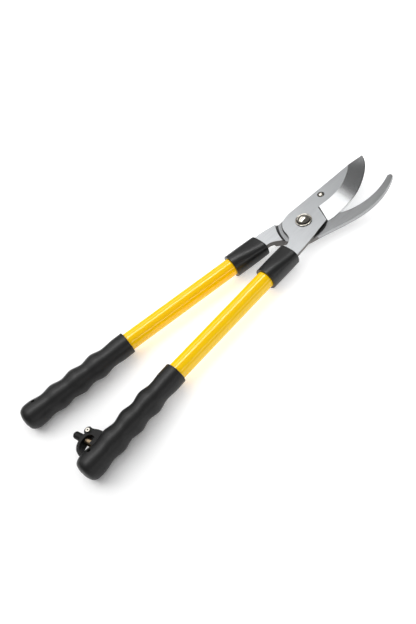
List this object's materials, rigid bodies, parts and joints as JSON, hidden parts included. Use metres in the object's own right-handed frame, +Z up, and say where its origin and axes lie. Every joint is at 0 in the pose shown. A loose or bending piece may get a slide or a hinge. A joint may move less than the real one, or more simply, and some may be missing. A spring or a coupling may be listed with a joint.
{
  "type": "bypass lopper",
  "caption": "Long-handled bypass pruning shears with a bevelled blade, a curved hook, tubular handles with waved grips and a sprung handle buffer.",
  "frame": {"origin": "under the middle of the tool, on the surface it lies on", "axes": "+X along the tool towards the blade tip, +Y towards the hook lever's handle, +Z up along the pivot axis"},
  "size_m": [0.6726, 0.1724, 0.0431],
  "materials": {
    "satin_steel": "fine brushed, satin",
    "forged_steel": "ground, satin",
    "nickel_plate": "polished nickel",
    "zinc_plate": "zinc plated",
    "bronze": "plain bronze",
    "yellow_paint": "gloss yellow",
    "black_plastic": "matte black",
    "black_nylon": "matte black",
    "black_rubber": "soft matte black"
  },
  "bodies": {
    "hook_lever": {"hook": "forged_steel", "friction_washer": "black_nylon", "pivot_bushing": "bronze", "pivot_bolt": "nickel_plate", "pivot_washer": "zinc_plate", "pivot_nut": "zinc_plate", "left_collar": "black_plastic", "left_tube": "yellow_paint", "left_tang_insert": "black_plastic", "left_tang_rivets": "zinc_plate", "left_tube_plug": "black_plastic", "left_grip": "black_rubber"},
    "blade_lever": {"blade": "satin_steel", "blade_rivet": "nickel_plate", "right_collar": "black_plastic", "right_tube": "yellow_paint", "right_grip": "black_rubber", "right_tang_insert": "black_plastic", "right_tang_rivets": "zinc_plate", "right_tube_plug": "black_plastic", "buffer_bracket_top": "black_plastic", "buffer_bracket_bottom": "black_plastic", "bracket_rivet": "nickel_plate", "buffer_sleeve": "nickel_plate", "buffer_spring": "zinc_plate"},
    "buffer": {"buffer_plunger": "zinc_plate", "buffer_cap": "black_rubber"}
  },
  "joints": [
    {"name": "pivot", "type": "hinge", "parent": "hook_lever", "child": "blade_lever", "pos_m": [0.17381, 0.00485, 0.02476], "axis": [0, 0, 1], "range_deg": [-6.2, 65]},
    {"name": "buffer_slide", "type": "slide", "parent": "blade_lever", "child": "buffer", "axis": [0.2719, -0.9623, 0], "range_m": [0, 0.003], "stiffness_N_per_m": 3000, "springref_m": -0.002, "deforming": ["buffer_spring"]}
  ]
}
